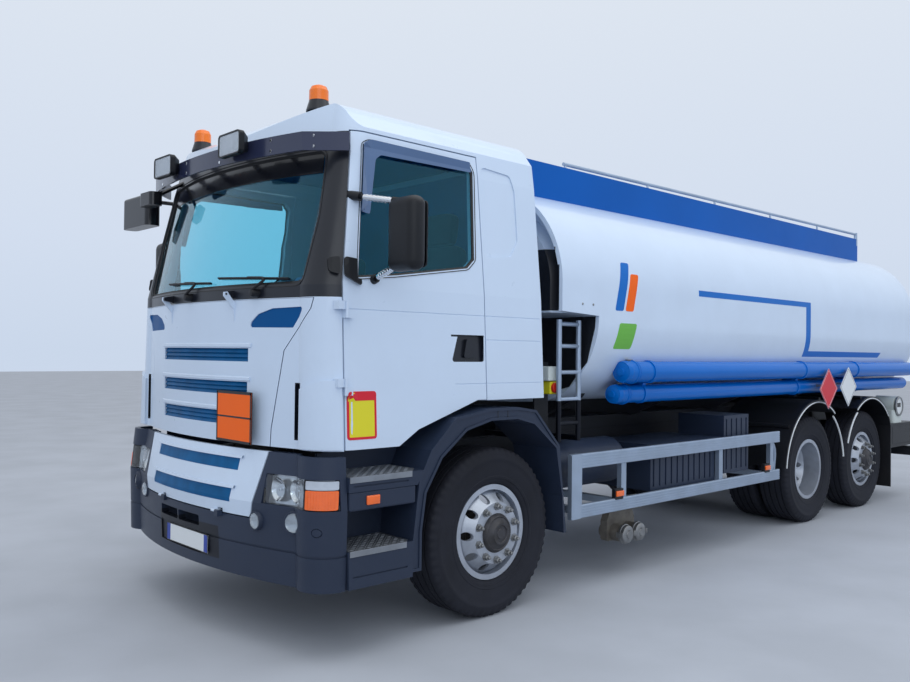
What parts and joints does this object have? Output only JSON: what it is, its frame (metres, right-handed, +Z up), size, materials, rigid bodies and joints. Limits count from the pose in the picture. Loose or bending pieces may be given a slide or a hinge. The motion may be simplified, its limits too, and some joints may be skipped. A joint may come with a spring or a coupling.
{
  "type": "tanker truck",
  "caption": "Rigid fuel tanker: short cab with opening doors and front panels, steered front wheels, twin-tyred drive axle, tag axle and a closed tank with hinged manhole lids.",
  "frame": {"origin": "on the ground under the middle of the overall length and width", "axes": "+X forward, +Y to the driver's left, +Z up"},
  "size_m": [8.9, 3.13, 3.2278],
  "materials": {
    "cab_paint": "white paint",
    "tank_paint": "white paint",
    "coaming_paint": "blue paint",
    "tube_paint": "bright blue paint",
    "slat_paint": "teal blue plastic",
    "dark_plastic": "dark grey-blue grained plastic",
    "black_plastic": "black plastic",
    "smoked_plastic": "smoked acrylic",
    "glass": "tinted glass",
    "lamp_glass": "clear lamp glass",
    "orange_plastic": "orange beacon plastic",
    "tyre": "road tyre",
    "rim_paint": "silver paint",
    "chassis_paint": "dark chassis paint",
    "cast_iron": "dusty iron",
    "aluminium": "mill finish",
    "seat_fabric": "dark cloth",
    "meter_paint": "white enamel"
  },
  "bodies": {
    "chassis": {"beacons": "orange_plastic", "bottom_coupling": "aluminium", "bumper": "dark_plastic", "cab_shell": "cab_paint", "chassis_boxes": "dark_plastic", "coaming": "coaming_paint", "corner_panels": "cab_paint", "dashboard": "black_plastic", "drive_axle": "cast_iron", "engine": "cast_iron", "flow_meter": "meter_paint", "frame_rails": "chassis_paint", "front_axle": "cast_iron", "front_guards": "dark_plastic", "fuel_tank": "aluminium", "headlamps": "lamp_glass", "hose_tubes": "tube_paint", "kerb_mirrors": "black_plastic", "ladder_frame": "aluminium", "manholes": "aluminium", "rear_bumper": "chassis_paint", "rear_cabinet": "dark_plastic", "rear_mudguards": "black_plastic", "roof_hatch": "black_plastic", "seats": "seat_fabric", "side_guards": "aluminium", "spot_lamps": "lamp_glass", "sun_visor": "smoked_plastic", "tag_axle": "cast_iron", "tank": "tank_paint", "tank_cradle": "chassis_paint", "windscreen": "glass"},
    "door_left": {"door_left": "cab_paint", "door_glass_left": "glass", "mirror_left": "black_plastic"},
    "door_right": {"door_right": "cab_paint", "door_glass_right": "glass", "mirror_right": "black_plastic"},
    "front_hatch": {"front_hatch": "cab_paint", "hatch_slats": "slat_paint"},
    "lower_flap": {"lower_flap": "cab_paint", "lower_slats": "slat_paint"},
    "knuckle_left": {"knuckle_left": "cast_iron"},
    "knuckle_right": {"knuckle_right": "cast_iron"},
    "front_wheel_left": {"front_left_tyre": "tyre", "front_left_rim": "rim_paint"},
    "front_wheel_right": {"front_right_tyre": "tyre", "front_right_rim": "rim_paint"},
    "drive_wheel_left": {"drive_left_tyres": "tyre", "drive_left_rims": "rim_paint"},
    "drive_wheel_right": {"drive_right_tyres": "tyre", "drive_right_rims": "rim_paint"},
    "tag_wheel_left": {"tag_left_tyre": "tyre", "tag_left_rim": "rim_paint"},
    "tag_wheel_right": {"tag_right_tyre": "tyre", "tag_right_rim": "rim_paint"},
    "manhole_lid_1": {"manhole_lid_1": "aluminium"},
    "manhole_lid_2": {"manhole_lid_2": "aluminium"},
    "manhole_lid_3": {"manhole_lid_3": "aluminium"},
    "manhole_lid_4": {"manhole_lid_4": "aluminium"}
  },
  "joints": [
    {"name": "door_left_hinge", "type": "hinge", "parent": "chassis", "child": "door_left", "pos_m": [4.119, 1.212, 1.4], "axis": [0, 0, -1], "range_deg": [0, 75]},
    {"name": "door_right_hinge", "type": "hinge", "parent": "chassis", "child": "door_right", "pos_m": [4.119, -1.212, 1.4], "axis": [0, 0, 1], "range_deg": [0, 75]},
    {"name": "front_hatch_hinge", "type": "hinge", "parent": "chassis", "child": "front_hatch", "pos_m": [4.405, 0, 1.985], "axis": [0, -1, 0], "range_deg": [0, 70]},
    {"name": "lower_flap_hinge", "type": "hinge", "parent": "chassis", "child": "lower_flap", "pos_m": [4.442, 0, 0.728], "axis": [0, 1, 0], "range_deg": [0, 90]},
    {"name": "steering_left", "type": "hinge", "parent": "chassis", "child": "knuckle_left", "pos_m": [2.95, 0.9, 0.53], "axis": [0, 0, 1], "range_deg": [-42, 42]},
    {"name": "steering_right", "type": "hinge", "parent": "chassis", "child": "knuckle_right", "pos_m": [2.95, -0.9, 0.53], "axis": [0, 0, 1], "range_deg": [-42, 42]},
    {"name": "front_wheel_left_spin", "type": "hinge", "parent": "knuckle_left", "child": "front_wheel_left", "pos_m": [2.95, 1, 0.53], "axis": [0, 1, 0], "continuous": true},
    {"name": "front_wheel_right_spin", "type": "hinge", "parent": "knuckle_right", "child": "front_wheel_right", "pos_m": [2.95, -1, 0.53], "axis": [0, 1, 0], "continuous": true},
    {"name": "drive_wheel_left_spin", "type": "hinge", "parent": "chassis", "child": "drive_wheel_left", "pos_m": [-1.69, 1, 0.53], "axis": [0, 1, 0], "continuous": true},
    {"name": "drive_wheel_right_spin", "type": "hinge", "parent": "chassis", "child": "drive_wheel_right", "pos_m": [-1.69, -1, 0.53], "axis": [0, 1, 0], "continuous": true},
    {"name": "tag_wheel_left_spin", "type": "hinge", "parent": "chassis", "child": "tag_wheel_left", "pos_m": [-3.045, 1, 0.53], "axis": [0, 1, 0], "continuous": true},
    {"name": "tag_wheel_right_spin", "type": "hinge", "parent": "chassis", "child": "tag_wheel_right", "pos_m": [-3.045, -1, 0.53], "axis": [0, 1, 0], "continuous": true},
    {"name": "manhole_lid_1_hinge", "type": "hinge", "parent": "chassis", "child": "manhole_lid_1", "pos_m": [1.165, 0, 2.982], "axis": [0, -1, 0], "range_deg": [0, 110]},
    {"name": "manhole_lid_2_hinge", "type": "hinge", "parent": "chassis", "child": "manhole_lid_2", "pos_m": [-0.285, 0, 2.982], "axis": [0, -1, 0], "range_deg": [0, 110]},
    {"name": "manhole_lid_3_hinge", "type": "hinge", "parent": "chassis", "child": "manhole_lid_3", "pos_m": [-1.735, 0, 2.982], "axis": [0, -1, 0], "range_deg": [0, 110]},
    {"name": "manhole_lid_4_hinge", "type": "hinge", "parent": "chassis", "child": "manhole_lid_4", "pos_m": [-3.185, 0, 2.982], "axis": [0, -1, 0], "range_deg": [0, 110]}
  ],
  "couplings": [
    {"joint": "steering_right", "follows": "steering_left", "ratio": 1}
  ]
}
